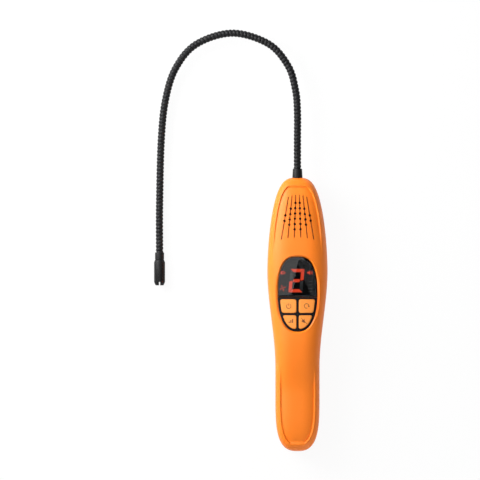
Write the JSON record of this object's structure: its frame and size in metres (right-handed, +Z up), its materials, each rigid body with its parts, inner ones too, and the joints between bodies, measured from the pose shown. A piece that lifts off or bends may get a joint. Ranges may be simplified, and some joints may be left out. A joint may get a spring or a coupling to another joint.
{
  "type": "refrigerant leak detector",
  "caption": "Hand-held refrigerant leak detector: waisted grip housing with vent, digit window and keys, and a wound gooseneck that arches over to a slotted sensor tip.",
  "frame": {"origin": "middle of the flat back of the housing, on the surface it lies on", "axes": "+X to the right of the display, +Y from the tail to the head of the housing, +Z up out of the display"},
  "size_m": [0.1315, 0.3193, 0.032],
  "materials": {
    "orange_plastic": "satin",
    "key_plastic": "satin",
    "black_plastic": "satin",
    "smoked_lens": "polished",
    "digit_block": "matt",
    "neck_winding": "satin black coat",
    "lead_sheath": "matt",
    "steel": "plated",
    "board": "solder resist",
    "component": "moulded",
    "socket_plastic": "moulded",
    "cell_case": "sleeved can"
  },
  "bodies": {
    "housing": {"front_shell": "orange_plastic", "rear_shell": "orange_plastic", "case_screws": "steel", "display_window": "smoked_lens", "key_frame": "black_plastic", "switch_power": "component", "switch_reset": "component", "switch_level": "component", "switch_mute": "component", "digit_display": "digit_block", "circuit_board": "board", "board_screws": "steel", "sounder": "component", "sensor_driver": "component", "controller_chip": "component", "lead_socket": "socket_plastic", "battery_left": "cell_case", "battery_right": "cell_case", "contact_plus": "steel", "contact_minus": "steel", "contact_bridge": "steel", "spring_left": "steel", "spring_right": "steel", "neck_collar": "black_plastic"},
    "power_key": {"key_power": "key_plastic"},
    "reset_key": {"key_reset": "key_plastic"},
    "level_key": {"key_level": "key_plastic"},
    "mute_key": {"key_mute": "key_plastic"},
    "door": {"battery_door": "orange_plastic"},
    "probe": {"gooseneck": "neck_winding", "sensor_lead": "lead_sheath", "tip_ferrule": "black_plastic", "sensor_element": "steel"},
    "cap": {"tip_cap": "black_plastic"}
  },
  "joints": [
    {"name": "power_press", "type": "slide", "parent": "housing", "child": "power_key", "axis": [0, 0, -1], "range_m": [0, 0.0009], "stiffness_N_per_m": 800, "springref_m": -0.0005},
    {"name": "reset_press", "type": "slide", "parent": "housing", "child": "reset_key", "axis": [0, 0, -1], "range_m": [0, 0.0009], "stiffness_N_per_m": 800, "springref_m": -0.0005},
    {"name": "level_press", "type": "slide", "parent": "housing", "child": "level_key", "axis": [0, 0, -1], "range_m": [0, 0.0009], "stiffness_N_per_m": 800, "springref_m": -0.0005},
    {"name": "mute_press", "type": "slide", "parent": "housing", "child": "mute_key", "axis": [0, 0, -1], "range_m": [0, 0.0009], "stiffness_N_per_m": 800, "springref_m": -0.0005},
    {"name": "door_slide", "type": "slide", "parent": "housing", "child": "door", "axis": [0, -1, 0], "range_m": [0, 0.07]},
    {"name": "probe_bend", "type": "hinge", "parent": "housing", "child": "probe", "pos_m": [0, 0.1103, 0.015], "axis": [0, 0, 1], "range_deg": [-35, 35], "deforming": ["gooseneck", "sensor_lead"]},
    {"name": "cap_pull", "type": "slide", "parent": "probe", "child": "cap", "axis": [0, -1, 0], "range_m": [0, 0.016]}
  ]
}
